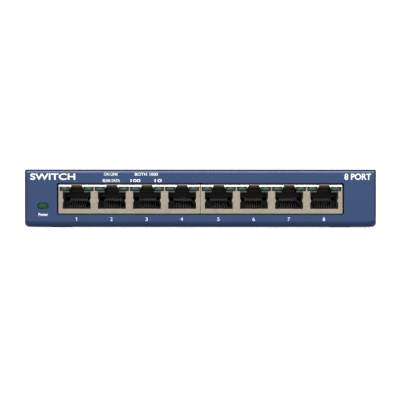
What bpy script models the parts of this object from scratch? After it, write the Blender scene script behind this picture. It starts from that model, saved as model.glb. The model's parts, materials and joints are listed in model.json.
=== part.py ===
"""An eight-port desktop network switch in a bent steel case.

Metres, +Z up. The origin is on the ground under the middle of the case, +X is to the right of
someone facing the ports, and the ports face -Y.
"""
import math

import bmesh
import bpy
from mathutils import Matrix, Vector

MM = 0.001

# Case
WIDTH = 158.0 * MM
DEPTH = 105.0 * MM
HEIGHT = 26.3 * MM
FOOT_PROUD = 0.4 * MM
SHEET = 0.8 * MM
LID_SHEET = 0.55 * MM
GAP = 0.3 * MM
OVERCUT = 0.2 * MM
LID_SEAM = 0.05 * MM
LID_SETBACK = 0.7 * MM
LID_CORNER = 0.8 * MM
LID_FLANGE_HALF = 45.0 * MM
LID_FLANGE_LOW = 21.5 * MM
LID_TONGUE_HALF = 60.0 * MM
LID_TONGUE_REACH = 5.0 * MM
LID_TONGUE_BEND = 1.0 * MM
FLOOR_BEND = 2.6 * MM
SIDE_BEND = 1.9 * MM
TOP_BEND = 1.0 * MM
RETURN_FLANGE = 5.0 * MM
SIDE_SEAM = 0.1 * MM
WALL_SETBACK = 0.15 * MM
WALL_LAP = 6.0 * MM
RELIEF_HEIGHT = 2.6 * MM
CORNER_SLIT = 0.1 * MM
BEND_STEPS = 5

# Port window, jack blocks and ports
WINDOW_HALF = 64.5 * MM
WINDOW_LOW = 5.85 * MM
WINDOW_HIGH = 20.22 * MM
WINDOW_CORNER = 0.7 * MM
BLOCK_WIDTH = 63.78 * MM
BLOCK_SPLIT = 0.12 * MM
BLOCK_LOW = 6.42 * MM
BLOCK_HIGH = 19.6 * MM
BLOCK_DEPTH = 18.8 * MM
BLOCK_SETBACK = 0.15 * MM
SHIELD_SHEET = 0.25 * MM
SHIELD_BEND = 0.85 * MM
JACK_GAP = 0.15 * MM
PORT_PITCH = 15.8 * MM
PORTS_PER_BLOCK = 4
OPENING_HALF = 6.3 * MM
OPENING_LOW = 8.5 * MM
OPENING_SHOULDER = 16.45 * MM
LED_CUT_HALF = 7.6 * MM
LED_CUT_HIGH = 18.55 * MM
NOTCH_HALF = 3.2 * MM
NOTCH_HIGH = 19.05 * MM
NOTCH_TOP_HALF = 2.1 * MM
EAR_LOW = 17.8 * MM
EAR_WIDTH = 0.3 * MM
TAB_HALF = 0.95 * MM
TAB_REACH = 0.4 * MM
TAB_HEIGHT = 12.2 * MM
CAVITY_HALF = 5.95 * MM
CAVITY_LOW = 9.3 * MM
CAVITY_HIGH = 16.1 * MM
CAVITY_DEPTH = 12.0 * MM
LEDGE_LOW = 12.4 * MM
LEDGE_HIGH = 13.8 * MM
LEDGE_DEPTH = 1.8 * MM
NOTCH_DEPTH = 10.0 * MM
CONTACTS = 8
CONTACT_PITCH = 1.02 * MM
CONTACT_WIDTH = 0.36 * MM
CONTACT_SHEET = 0.25 * MM
CONTACT_SLOT = 0.56 * MM
CONTACT_SLOT_LOW = 8.0 * MM
CONTACT_SLOT_HIGH = 12.3 * MM
HINGE_SETBACK = 1.9 * MM
HINGE_HEIGHT = 8.6 * MM
CONTACT_TIP_HEIGHT = 12.0 * MM
CONTACT_LENGTH = 11.0 * MM
CONTACT_TIP = 0.6 * MM
CONTACT_TIP_DROP = 0.5 * MM
CARRIER_HALF = (0.4 * MM, 0.25 * MM)
SLOT_FRONT_ROOM = 0.8 * MM
SLOT_REAR_ROOM = 2.0 * MM
LED_SIZE = (4.0 * MM, 8.2 * MM, 1.9 * MM)
LED_OFFSET = 5.4 * MM
LED_LOW = 16.55 * MM
LED_SETBACK = 0.2 * MM
LED_CLEARANCE = 0.1 * MM

# Circuit board and what stands on it
BOARD_HALF = 74.0 * MM
BOARD_FRONT = -50.9 * MM
BOARD_REAR = 48.0 * MM
BOARD_LOW = 4.4 * MM
BOARD_SHEET = 1.6 * MM
BOARD_SCREWS = [(x * MM, y * MM) for y in (-16, 22) for x in (-70, 70)]
BOARD_SCREW_HOLE = 1.7 * MM
BOARD_SCREW_RADII = (1.3 * MM, 1.9 * MM, 2.7 * MM)
BOARD_SCREW_HEAD = 1.9 * MM
STANDOFF_RADII = (1.6 * MM, 3.0 * MM)
CHIP_SIZE = (20 * MM, 20 * MM, 1.6 * MM)
CHIP_PLACE = (0.0, 2 * MM)
SINK_SIZE = (26 * MM, 26 * MM, 8 * MM)
SINK_BASE = 1.8 * MM
SINK_FINS = 8
SINK_FIN = 1.2 * MM
TRANSFORMER_SIZE = (15 * MM, 9 * MM, 5.2 * MM)
TRANSFORMER_Y = -24.5 * MM
TRANSFORMER_EDGE = 0.4 * MM
CAPACITOR_RADIUS = 4.0 * MM
CAPACITOR_HEIGHT = 11.5 * MM
CAPACITOR_EDGE = 0.4 * MM
CAN_CORNER = 1.4 * MM
CAPACITOR_PLACES = [(31 * MM, 25 * MM), (31 * MM, 36 * MM)]
INDUCTOR_PLACE = (20 * MM, 33 * MM)
INDUCTOR_SIZE = (7.4 * MM, 7.4 * MM, 4.2 * MM)
CRYSTAL_PLACE = (-22 * MM, 4 * MM)
CRYSTAL_SIZE = (4.6 * MM, 11.0 * MM, 3.4 * MM)

# Power light
POWER_LIGHT_X = -70.8 * MM
POWER_LIGHT_Z = 9.8 * MM
POWER_LIGHT_SIZE = (4.7 * MM, 2.6 * MM)
POWER_LIGHT_CLEARANCE = 0.4 * MM
POWER_LIGHT_SETBACK = 0.1 * MM
POWER_LIGHT_REAR = -44.0 * MM
POWER_LEG_HALF = 1.2 * MM
POWER_CHIP_SIZE = (2.0 * MM, 1.3 * MM, 0.8 * MM)

# Rear panel
DC_JACK_X = 44.0 * MM
DC_JACK_SIZE = (9.0 * MM, 14.2 * MM, 11.0 * MM)
DC_BORE_RADIUS = 3.2 * MM
DC_BORE_HEIGHT = 12.2 * MM
DC_BORE_DEPTH = 9.6 * MM
DC_PIN_RADIUS = 1.05 * MM
DC_PIN_ROOT = 3.0 * MM
DC_PIN_SETBACK = 1.2 * MM
DC_LEAF_WIDTH = 2.4 * MM
DC_LEAF_SHEET = 0.3 * MM
DC_LEAF_ROOM = 1.0 * MM
DC_LEAF_TIP_LENGTH = 1.4 * MM
DC_LEAF_ROOT = (43.4 * MM, 8.1 * MM)
DC_LEAF_TIP = (49.6 * MM, 9.5 * MM)
COVER_SCREW_X = 62.0 * MM
COVER_SCREW_Z = 20.5 * MM
COUNTERSINK_HOLE = 3.7 * MM
COUNTERSINK_MOUTH = 3.5 * MM
COUNTERSINK_THROAT = 1.8 * MM
COUNTERSINK_DEPTH = 1.9 * MM
SCREW_RADII = (2.85 * MM, 1.5 * MM)
SCREW_LENGTH = 5.8 * MM
DRAFT = 0.05 * MM
RECESS_ARM = (1.6 * MM, 0.40 * MM, 0.28 * MM)
RECESS_DEPTH = 1.0 * MM
SCREW_TAB_HALF = 6.0 * MM
SCREW_TAB_LOW = 16.5 * MM
LOCK_SLOT_X = -60.0 * MM
LOCK_SLOT_Z = 12.0 * MM
LOCK_SLOT_SIZE = (7.0 * MM, 3.0 * MM)

# Side vents, keyholes and feet
VENTS = 14
VENT_PITCH = 5.4 * MM
VENT_SIZE = (1.8 * MM, 10.0 * MM)
VENT_Z = 13.2 * MM
KEYHOLE_SPACING = 94.0 * MM
KEYHOLE_HEAD = 4.0 * MM
KEYHOLE_NECK = 2.0 * MM
KEYHOLE_RUN = 8.0 * MM
FOOT_X = 64.0 * MM
FOOT_Y = 38.0 * MM
FOOT_RADIUS = 5.0 * MM
DISH_RADIUS = 6.2 * MM
DISH_DEPTH = 1.4 * MM
DISH_SLOPE = 0.6 * MM
FOOT_CHAMFER = 0.3 * MM

BODY_LOW = FOOT_PROUD
FLOOR_TOP = BODY_LOW + SHEET
LID_LOW = HEIGHT - LID_SHEET
WALL_TOP = LID_LOW - LID_SEAM
FRONT = -DEPTH / 2
REAR = DEPTH / 2
SIDE = WIDTH / 2
BLOCK_FRONT = FRONT + BLOCK_SETBACK
BLOCK_REAR = BLOCK_FRONT + BLOCK_DEPTH
HOUSING_FRONT = BLOCK_FRONT + SHIELD_SHEET + JACK_GAP
HINGE_Y = BLOCK_FRONT + HINGE_SETBACK
BOARD_TOP = BOARD_LOW + BOARD_SHEET
STAND = BOARD_TOP + GAP

# name: (colour, metallic, roughness)
FINISHES = {
    "blue_powder_coat": ((0.05, 0.09, 0.20, 1.0), 0.0, 0.45),
    "tinned_steel": ((0.62, 0.56, 0.48, 1.0), 1.0, 0.32),
    "black_nylon": ((0.012, 0.012, 0.014, 1.0), 0.0, 0.45),
    "gold_contact": ((0.75, 0.55, 0.22, 1.0), 1.0, 0.30),
    "green_lens": ((0.05, 0.11, 0.06, 1.0), 0.0, 0.25),
    "black_rubber": ((0.02, 0.02, 0.02, 1.0), 0.0, 0.85),
    "green_laminate": ((0.02, 0.10, 0.04, 1.0), 0.0, 0.40),
    "zinc_steel": ((0.55, 0.56, 0.58, 1.0), 1.0, 0.35),
    "bare_aluminium": ((0.70, 0.71, 0.73, 1.0), 1.0, 0.40),
    "chip_epoxy": ((0.02, 0.02, 0.022, 1.0), 0.0, 0.60),
}


def clear_scene():
    for old in list(bpy.data.objects):
        bpy.data.objects.remove(old, do_unlink=True)


def make_collection(name):
    made = bpy.data.collections.new(name)
    bpy.context.scene.collection.children.link(made)
    return made


def make_finish(name):
    colour, metallic, roughness = FINISHES[name]
    material = bpy.data.materials.new(name)
    material.use_nodes = True
    shader = material.node_tree.nodes["Principled BSDF"]
    shader.inputs["Base Color"].default_value = colour
    shader.inputs["Metallic"].default_value = metallic
    shader.inputs["Roughness"].default_value = roughness
    return material


clear_scene()
SWITCH = make_collection("network_switch")
CUTTERS = make_collection("cutters")
MATERIALS = {name: make_finish(name) for name in FINISHES}


# Shapes: each function returns a bmesh in world coordinates

def box(low, high):
    shape = bmesh.new()
    bmesh.ops.create_cube(shape, size=1.0)
    size = Vector(high) - Vector(low)
    middle = (Vector(high) + Vector(low)) / 2
    matrix = Matrix.Translation(middle) @ Matrix.Diagonal((*size, 1.0))
    bmesh.ops.transform(shape, matrix=matrix, verts=shape.verts)
    return shape


def standing_box(place, size, low):
    """A box of a given size whose middle is above place and whose underside is at low."""
    half_x = size[0] / 2
    half_y = size[1] / 2
    corner = (place[0] + half_x, place[1] + half_y, low + size[2])
    return box((place[0] - half_x, place[1] - half_y, low), corner)


def drum(place, radius, low, high, segments=24):
    """An upright cylinder."""
    shape = bmesh.new()
    sizes = {"radius1": radius, "radius2": radius, "depth": high - low}
    bmesh.ops.create_cone(shape, cap_ends=True, segments=segments, **sizes)
    middle = Vector((place[0], place[1], (low + high) / 2))
    bmesh.ops.translate(shape, vec=middle, verts=shape.verts)
    return shape


def evaluated(source):
    """The closed mesh of an object's modifiers or curve, its loose seams welded. The object is removed."""
    bpy.context.scene.collection.objects.link(source)
    bpy.context.view_layer.update()
    mesh = bpy.data.meshes.new_from_object(source.evaluated_get(bpy.context.evaluated_depsgraph_get()))
    shape = bmesh.new()
    shape.from_mesh(mesh)
    bpy.data.meshes.remove(mesh)
    bpy.data.objects.remove(source, do_unlink=True)
    bmesh.ops.remove_doubles(shape, verts=shape.verts, dist=0.002 * MM)
    bmesh.ops.recalc_face_normals(shape, faces=shape.faces)
    return shape


def prism(outline, start, end, axis="Z"):
    """A flat closed outline in the world axes other than axis, made thick from start to end along axis."""
    curve = bpy.data.curves.new("outline", "CURVE")
    curve.dimensions = "2D"
    curve.fill_mode = "BOTH"
    curve.extrude = (end - start) / 2
    spline = curve.splines.new("POLY")
    spline.points.add(len(outline) - 1)
    for point, (across, along) in zip(spline.points, outline):
        point.co = (across, along, 0.0, 1.0)
    spline.use_cyclic_u = True
    shape = evaluated(bpy.data.objects.new("outline", curve))
    middle = (start + end) / 2
    turns = {
        "X": Matrix(((0, 0, 1, middle), (1, 0, 0, 0), (0, 1, 0, 0), (0, 0, 0, 1))),
        "Y": Matrix(((1, 0, 0, 0), (0, 0, -1, middle), (0, 1, 0, 0), (0, 0, 0, 1))),
        "Z": Matrix.Translation((0, 0, middle)),
    }
    bmesh.ops.transform(shape, matrix=turns[axis], verts=shape.verts)
    return shape


def turned(profile, place, axis="Z", steps=24):
    """A profile of (radius, height) points turned about the axis through place.

    A profile that starts on the axis ends on it.
    """
    mesh = bpy.data.meshes.new("profile")
    count = len(profile)
    closing = 0 if profile[0][0] == 0 else 1
    edges = [(n, (n + 1) % count) for n in range(count - 1 + closing)]
    mesh.from_pydata([(radius, 0.0, height) for radius, height in profile], edges, [])
    source = bpy.data.objects.new("profile", mesh)
    screw = source.modifiers.new("turn", "SCREW")
    screw.steps = steps
    screw.render_steps = steps
    screw.use_merge_vertices = True
    screw.merge_threshold = 0.002 * MM
    shape = evaluated(source)
    turn = Matrix.Rotation(math.radians(-90), 4, "X") if axis == "Y" else Matrix.Identity(4)
    bmesh.ops.transform(shape, matrix=Matrix.Translation(place) @ turn, verts=shape.verts)
    return shape


def rounded(path, radius, steps=BEND_STEPS, closed=False):
    """A path whose inner corners, or all of them on a closed one, become arcs.

    radius is one number, or one per point, and a corner of radius 0 stays sharp.
    """
    count = len(path)
    radii = radius if isinstance(radius, (list, tuple)) else [radius] * count
    points = []
    for n, corner in enumerate(path):
        corner = Vector(corner)
        if radii[n] == 0 or (not closed and n in (0, count - 1)):
            points.append(tuple(corner))
            continue
        coming = (corner - Vector(path[n - 1])).normalized()
        going = (Vector(path[(n + 1) % count]) - corner).normalized()
        turn = math.atan2(coming.cross(going), coming.dot(going))
        side = Vector((-coming.y, coming.x)) * math.copysign(1, turn)
        centre = corner - coming * radii[n] * math.tan(abs(turn) / 2) + side * radii[n]
        for step in range(steps + 1):
            swing = Matrix.Rotation(turn * step / steps, 2)
            points.append(tuple(centre + swing @ (-side * radii[n])))
    return points


def bent_sheet(path, radii, thickness):
    """The closed outline of a sheet bent along its outer face, with the inside of every bend on the left."""
    ways = [(Vector(b) - Vector(a)).normalized() for a, b in zip(path, path[1:])]
    lefts = [Vector((-way.y, way.x)) for way in ways]
    inner = [Vector(path[0]) + lefts[0] * thickness]
    for corner, before, after in zip(path[1:-1], lefts, lefts[1:]):
        inner.append(Vector(corner) + (before + after) * thickness)
    inner.append(Vector(path[-1]) + lefts[-1] * thickness)
    outer_face = rounded(path, radii)
    inner_face = rounded([tuple(point) for point in inner], [radius - thickness for radius in radii])
    return outer_face + inner_face[::-1]


def obround(middle, size, steps=8):
    """A slot's outline, of size (across, along), with round ends on its longer side."""
    radius = min(size) / 2
    straight = (max(size) - min(size)) / 2
    upright = size[1] > size[0]
    points = []
    for end in (1, -1):
        for step in range(steps + 1):
            angle = math.pi * step / steps - math.pi / 2 + (0 if end > 0 else math.pi)
            along = end * straight + radius * math.cos(angle)
            across = radius * math.sin(angle)
            offset = (-across, along) if upright else (along, across)
            points.append((middle[0] + offset[0], middle[1] + offset[1]))
    return points


def gathered(shapes):
    """Several shapes that don't touch, as one."""
    whole = bmesh.new()
    mesh = bpy.data.meshes.new("gathered")
    for shape in shapes:
        shape.to_mesh(mesh)
        shape.free()
        whole.from_mesh(mesh)
    bpy.data.meshes.remove(mesh)
    return whole


def mirrored(shape, sides=(1, -1)):
    """A shape and its mirror image across the middle of the case, as one."""
    copies = []
    for side in sides:
        copy = shape.copy()
        bmesh.ops.transform(copy, matrix=Matrix.Diagonal((side, 1, 1, 1)), verts=copy.verts)
        if side < 0:
            bmesh.ops.reverse_faces(copy, faces=copy.faces)
        copies.append(copy)
    shape.free()
    return gathered(copies)


# Objects

def make_object(name, shape, collection, origin=(0, 0, 0)):
    bmesh.ops.translate(shape, vec=-Vector(origin), verts=shape.verts)
    mesh = bpy.data.meshes.new(name)
    shape.to_mesh(mesh)
    shape.free()
    mesh.shade_smooth()
    mesh.set_sharp_from_angle(angle=math.radians(35))
    made = bpy.data.objects.new(name, mesh)
    made.location = origin
    collection.objects.link(made)
    return made


def piece(name, finish, shape, origin=(0, 0, 0)):
    made = make_object(name, shape, SWITCH, origin)
    made.data.materials.append(MATERIALS[finish])
    return made


def combine(target, label, shape, operation):
    tool = make_object(f"{target.name}_{label}", shape, CUTTERS)
    tool.hide_render = True
    tool.display_type = "WIRE"
    modifier = target.modifiers.new(label, "BOOLEAN")
    modifier.operation = operation
    modifier.solver = "EXACT"
    modifier.object = tool
    return tool


def cut(target, label, shape):
    return combine(target, label, shape, "DIFFERENCE")


def join(target, label, shape):
    return combine(target, label, shape, "UNION")


# Case

def countersink_ring(x):
    """The cone pressed into the rear panel around a cover screw, its rim buried in the panel's thickness."""
    rim = COUNTERSINK_HOLE + SHEET / 2
    throat = COUNTERSINK_THROAT
    wall = 1.1 * MM
    buried = SHEET / 4
    profile = [(rim, -buried), (COUNTERSINK_MOUTH, -buried), (throat, -COUNTERSINK_DEPTH + SHEET / 2),
               (throat, -COUNTERSINK_DEPTH), (throat + wall, -COUNTERSINK_DEPTH), (rim, -SHEET + buried)]
    return turned(profile, (x, REAR, COVER_SCREW_Z), "Y", 20)


def foot_dish(x, y):
    """The dish pressed up into the floor around a foot. Its rim is buried in the floor's thickness."""
    ceiling = BODY_LOW + DISH_DEPTH
    inner = DISH_RADIUS - DISH_SLOPE
    rim_low = BODY_LOW + SHEET / 4
    rim_high = FLOOR_TOP - SHEET / 4
    rim = DISH_RADIUS + SHEET
    profile = [(0, ceiling), (inner, ceiling), (DISH_RADIUS, rim_low), (rim, rim_low), (rim, rim_high),
               (inner + SHEET, ceiling + SHEET), (0, ceiling + SHEET)]
    return turned(profile, (x, y, 0), "Z", 20)


def keyhole(x):
    """The head and the neck of a wall-mounting keyhole."""
    head = drum((x, 0), KEYHOLE_HEAD, BODY_LOW - GAP, FLOOR_TOP + GAP)
    run = obround((x, KEYHOLE_RUN / 2), (2 * KEYHOLE_NECK, KEYHOLE_RUN + 2 * KEYHOLE_NECK))
    neck = prism(run, BODY_LOW - GAP, FLOOR_TOP + GAP)
    return head, neck


def side_wall():
    """The right-hand wall with its bend, whose front and rear ends have no floor."""
    path = [(SIDE - SIDE_BEND - WALL_LAP, BODY_LOW), (SIDE, BODY_LOW), (SIDE, WALL_TOP)]
    return prism(bent_sheet(path, [SIDE_BEND] * 3, SHEET), FRONT + WALL_SETBACK, REAR - WALL_SETBACK, "Y")


def make_tray():
    path = [(FRONT + RETURN_FLANGE, WALL_TOP), (FRONT, WALL_TOP), (FRONT, BODY_LOW), (REAR, BODY_LOW),
            (REAR, WALL_TOP)]
    radii = [TOP_BEND, TOP_BEND, FLOOR_BEND, FLOOR_BEND, FLOOR_BEND]
    panel_half = SIDE - SHEET - SIDE_SEAM
    tray = piece("bottom_tray", "blue_powder_coat",
                 prism(bent_sheet(path, radii, SHEET), -panel_half, panel_half, "X"))
    bend_start = SIDE - SIDE_BEND
    floor_edge = bend_start - CORNER_SLIT
    relief = box((floor_edge, FRONT - GAP, 0), (SIDE, REAR + GAP, BODY_LOW + RELIEF_HEIGHT))
    cut(tray, "floor_edges", mirrored(relief))
    walls = join(tray, "side_walls", mirrored(side_wall()))
    floor_end = DEPTH / 2 - FLOOR_BEND - CORNER_SLIT
    lap_ends = []
    for end in (1, -1):
        near, far = sorted((end * floor_end, end * DEPTH))
        lap_ends.append(box((0, near, 0), (bend_start, far, HEIGHT)))
    cut(walls, "lap_ends", mirrored(gathered(lap_ends)))
    corners = [(WINDOW_HALF, WINDOW_HIGH), (-WINDOW_HALF, WINDOW_HIGH), (-WINDOW_HALF, WINDOW_LOW),
               (WINDOW_HALF, WINDOW_LOW)]
    window = prism(rounded(corners, WINDOW_CORNER, 3, closed=True), FRONT - GAP, FRONT + SHEET + GAP, "Y")
    cut(tray, "port_window", window)
    hole_size = [side + POWER_LIGHT_CLEARANCE for side in POWER_LIGHT_SIZE]
    light_hole = obround((POWER_LIGHT_X, POWER_LIGHT_Z), hole_size)
    cut(tray, "power_light_hole", prism(light_hole, FRONT - GAP, FRONT + SHEET + GAP, "Y"))
    cut_rear_panel(tray)
    cut_vents(tray)
    cut_floor(tray)
    return tray


def cut_rear_panel(tray):
    start = REAR - SHEET - GAP
    end = REAR + GAP
    half = DC_JACK_SIZE[0] / 2 + GAP
    jack = box((DC_JACK_X - half, start, STAND - GAP), (DC_JACK_X + half, end, STAND + DC_JACK_SIZE[2] + GAP))
    slot = prism(obround((LOCK_SLOT_X, LOCK_SLOT_Z), LOCK_SLOT_SIZE), start, end, "Y")
    cut(tray, "rear_holes", gathered([jack, slot]))
    hole = [(0, start), (COUNTERSINK_HOLE, start), (COUNTERSINK_HOLE, end), (0, end)]
    screws = (-COVER_SCREW_X, COVER_SCREW_X)
    cut(tray, "screw_holes", gathered([turned(hole, (x, 0, COVER_SCREW_Z), "Y") for x in screws]))
    join(tray, "countersinks", gathered([countersink_ring(x) for x in screws]))


def cut_vents(tray):
    slots = []
    for n in range(VENTS):
        y = (n - (VENTS - 1) / 2) * VENT_PITCH
        slots.append(prism(obround((y, VENT_Z), VENT_SIZE, 3), SIDE - SHEET - GAP, SIDE + GAP, "X"))
    cut(tray, "vents", mirrored(gathered(slots)))


def cut_floor(tray):
    places = [(x, y) for x in (-FOOT_X, FOOT_X) for y in (-FOOT_Y, FOOT_Y)]
    overlap = DISH_RADIUS + SHEET / 2
    cut(tray, "dish_holes", gathered([drum(place, overlap, 0, FLOOR_TOP + GAP) for place in places]))
    join(tray, "foot_dishes", gathered([foot_dish(*place) for place in places]))
    holes = [keyhole(x) for x in (-KEYHOLE_SPACING / 2, KEYHOLE_SPACING / 2)]
    cut(tray, "keyhole_heads", gathered([head for head, neck in holes]))
    cut(tray, "keyhole_necks", gathered([neck for head, neck in holes]))


def make_cover():
    front = FRONT + LID_SETBACK
    plan = [(SIDE, REAR), (-SIDE, REAR), (-SIDE, front), (SIDE, front)]
    sheet = prism(rounded(plan, LID_CORNER, 3, closed=True), LID_LOW, HEIGHT)
    cover = piece("top_cover", "blue_powder_coat", sheet)
    lap_high = LID_LOW + LID_SHEET / 2
    flange_x = SIDE - SHEET - GAP - LID_SHEET
    flange_end = (flange_x + LID_SHEET, LID_FLANGE_HALF, lap_high)
    flange = box((flange_x, -LID_FLANGE_HALF, LID_FLANGE_LOW), flange_end)
    join(cover, "side_flanges", mirrored(flange))
    tongue_rear = FRONT + RETURN_FLANGE + LID_TONGUE_BEND + LID_SHEET
    tongue_low = WALL_TOP - SHEET - GAP - LID_SHEET
    path = [(tongue_rear - LID_TONGUE_REACH, tongue_low), (tongue_rear, tongue_low), (tongue_rear, lap_high)]
    tongue = prism(bent_sheet(path, [LID_TONGUE_BEND] * 3, LID_SHEET), -LID_TONGUE_HALF, LID_TONGUE_HALF, "X")
    join(cover, "front_tongue", tongue)
    tab_y = REAR - COUNTERSINK_DEPTH - GAP - LID_SHEET
    screws = (-COVER_SCREW_X, COVER_SCREW_X)
    tabs = [box((x - SCREW_TAB_HALF, tab_y, SCREW_TAB_LOW), (x + SCREW_TAB_HALF, tab_y + LID_SHEET, lap_high))
            for x in screws]
    join(cover, "rear_tabs", gathered(tabs))
    before = tab_y - GAP
    behind = tab_y + LID_SHEET + GAP
    hole = [(0, before), (COUNTERSINK_THROAT, before), (COUNTERSINK_THROAT, behind), (0, behind)]
    cut(cover, "screw_holes", gathered([turned(hole, (x, 0, COVER_SCREW_Z), "Y") for x in screws]))


def cross_recess(place, top, axis="Z"):
    """A cross-shaped recess with narrowing arms, sunk into a screw's head from top."""
    arm, half, end = RECESS_ARM
    outline = []
    for turn in range(4):
        quarter = Matrix.Rotation(math.radians(90 * turn), 2)
        outline += [tuple(quarter @ Vector(point)) for point in ((half, half), (end, arm), (-end, arm))]
    moved = [(place[0] + across, place[1] + along) for across, along in outline]
    return prism(moved, top - RECESS_DEPTH, top + RECESS_DEPTH, axis)


def make_cover_screws():
    top = REAR - WALL_SETBACK
    head, shank = SCREW_RADII
    neck = -(head - shank)
    profile = [(0, 0), (head, 0), (shank, neck), (shank - DRAFT, -SCREW_LENGTH), (0, -SCREW_LENGTH)]
    for name, x in (("cover_screw_left", -COVER_SCREW_X), ("cover_screw_right", COVER_SCREW_X)):
        place = (x, top, COVER_SCREW_Z)
        screw = piece(name, "zinc_steel", turned(profile, place, "Y", 20), place)
        cut(screw, "recess", cross_recess((x, COVER_SCREW_Z), top, "Y"))


def make_feet():
    high = BODY_LOW + DISH_DEPTH - GAP
    sole = FOOT_RADIUS - FOOT_CHAMFER
    profile = [(0, 0), (sole, 0), (FOOT_RADIUS, FOOT_CHAMFER), (FOOT_RADIUS, high), (0, high)]
    for end, end_name in ((-1, "front"), (1, "rear")):
        for side, side_name in ((-1, "left"), (1, "right")):
            place = (side * FOOT_X, end * FOOT_Y, 0)
            piece(f"foot_{end_name}_{side_name}", "black_rubber", turned(profile, place, "Z", 24), place)


# Circuit board

def make_board():
    laminate = box((-BOARD_HALF, BOARD_FRONT, BOARD_LOW), (BOARD_HALF, BOARD_REAR, BOARD_TOP))
    board = piece("main_circuit_board", "green_laminate", laminate)
    holes = [drum(place, BOARD_SCREW_HOLE, BOARD_LOW - GAP, BOARD_TOP + GAP, 12) for place in BOARD_SCREWS]
    cut(board, "screw_holes", gathered(holes))
    bore, rim = STANDOFF_RADII
    low = FLOOR_TOP + GAP
    high = BOARD_LOW - GAP
    sleeve = [(bore, low), (rim, low), (rim, high), (bore, high)]
    shank, crown, head = BOARD_SCREW_RADII
    top = STAND + BOARD_SCREW_HEAD
    shoulder = top - (head - crown)
    tip = low + GAP
    profile = [(0, top), (crown, top), (head, shoulder), (head, STAND), (shank, STAND), (shank, tip),
               (0, tip)]
    for n, (x, y) in enumerate(BOARD_SCREWS, 1):
        piece(f"board_standoff_{n}", "zinc_steel", turned(sleeve, (x, y, 0), "Z", 12), (x, y, 0))
        screw = piece(f"board_screw_{n}", "zinc_steel", turned(profile, (x, y, 0), "Z", 18), (x, y, 0))
        cut(screw, "recess", cross_recess((x, y), top))


def make_chip_and_sink():
    piece("switch_chip", "chip_epoxy", standing_box(CHIP_PLACE, CHIP_SIZE, STAND))
    low = STAND + CHIP_SIZE[2] + GAP
    left = CHIP_PLACE[0] - SINK_SIZE[0] / 2
    pitch = (SINK_SIZE[0] - SINK_FIN) / (SINK_FINS - 1)
    outline = [(left + SINK_SIZE[0], low), (left, low)]
    for n in range(SINK_FINS):
        start = left + n * pitch
        base = low + SINK_BASE
        if n:
            outline.append((start, base))
        outline += [(start, low + SINK_SIZE[2]), (start + SINK_FIN, low + SINK_SIZE[2])]
        if n < SINK_FINS - 1:
            outline.append((start + SINK_FIN, base))
    front = CHIP_PLACE[1] - SINK_SIZE[1] / 2
    piece("heat_sink", "bare_aluminium", prism(outline, front, front + SINK_SIZE[1], "Y"))


def make_power_parts():
    for n, (x, y) in enumerate(CAPACITOR_PLACES, 1):
        top = STAND + CAPACITOR_HEIGHT
        profile = [(0, STAND), (CAPACITOR_RADIUS, STAND), (CAPACITOR_RADIUS, top - CAPACITOR_EDGE),
                   (CAPACITOR_RADIUS - CAPACITOR_EDGE, top), (0, top)]
        piece(f"capacitor_{n}", "bare_aluminium", turned(profile, (x, y, 0), "Z", 16), (x, y, 0))
    for name, finish, place, size in (("power_inductor", "chip_epoxy", INDUCTOR_PLACE, INDUCTOR_SIZE),
                                      ("crystal", "zinc_steel", CRYSTAL_PLACE, CRYSTAL_SIZE)):
        half_x = size[0] / 2
        half_y = size[1] / 2
        square = [(half_x, half_y), (-half_x, half_y), (-half_x, -half_y), (half_x, -half_y)]
        moved = [(place[0] + x, place[1] + y) for x, y in square]
        piece(name, finish, prism(rounded(moved, CAN_CORNER, 3, closed=True), STAND, STAND + size[2]))


def make_transformers():
    spacing = 2 * PORT_PITCH
    for n in range(4):
        place = ((n - 1.5) * spacing, TRANSFORMER_Y)
        body = piece(f"transformer_{n + 1}", "chip_epoxy", standing_box(place, TRANSFORMER_SIZE, STAND))
        bevel = body.modifiers.new("moulded_edges", "BEVEL")
        bevel.width = TRANSFORMER_EDGE
        bevel.segments = 1


def make_power_light():
    half = POWER_LEG_HALF
    outline = obround((POWER_LIGHT_X, POWER_LIGHT_Z), POWER_LIGHT_SIZE, 10)
    lens = piece("power_light_pipe", "green_lens",
                 prism(outline, FRONT + POWER_LIGHT_SETBACK, POWER_LIGHT_REAR, "Y"))
    leg_low = STAND + POWER_CHIP_SIZE[2] + GAP
    leg_middle = POWER_LIGHT_REAR - half - POWER_LIGHT_SETBACK
    leg_size = (2 * half, 2 * half, POWER_LIGHT_Z - leg_low)
    join(lens, "leg", standing_box((POWER_LIGHT_X, leg_middle), leg_size, leg_low))
    piece("power_led_chip", "green_lens", standing_box((POWER_LIGHT_X, leg_middle), POWER_CHIP_SIZE, STAND))


# Jack blocks

def port_centres(side):
    """The middles of a block's four ports, for the block on side -1 or 1."""
    block_centre = side * (BLOCK_SPLIT + BLOCK_WIDTH) / 2
    return [block_centre + (n - (PORTS_PER_BLOCK - 1) / 2) * PORT_PITCH for n in range(PORTS_PER_BLOCK)]


def shield_opening(x):
    """A port's outline in the shield: the plug's opening, the two light windows and the latch notch."""
    radius = (TAB_HALF ** 2 + TAB_REACH ** 2) / (2 * TAB_REACH)
    sweep = math.asin(TAB_HALF / radius)
    tab = []
    for step in range(5):
        angle = sweep * (step - 2) / 2
        reach = TAB_REACH - radius * (1 - math.cos(angle))
        tab.append((OPENING_HALF - reach, TAB_HEIGHT + radius * math.sin(angle)))
    right = [(OPENING_HALF, OPENING_LOW)] + tab
    right += [(OPENING_HALF, OPENING_SHOULDER), (LED_CUT_HALF, OPENING_SHOULDER),
              (LED_CUT_HALF, LED_CUT_HIGH), (NOTCH_HALF, LED_CUT_HIGH), (NOTCH_HALF, EAR_LOW),
              (NOTCH_HALF - EAR_WIDTH, EAR_LOW), (NOTCH_TOP_HALF, NOTCH_HIGH)]
    left = [(-across, up) for across, up in right[::-1]]
    return [(x + across, up) for across, up in right + left]


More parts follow.
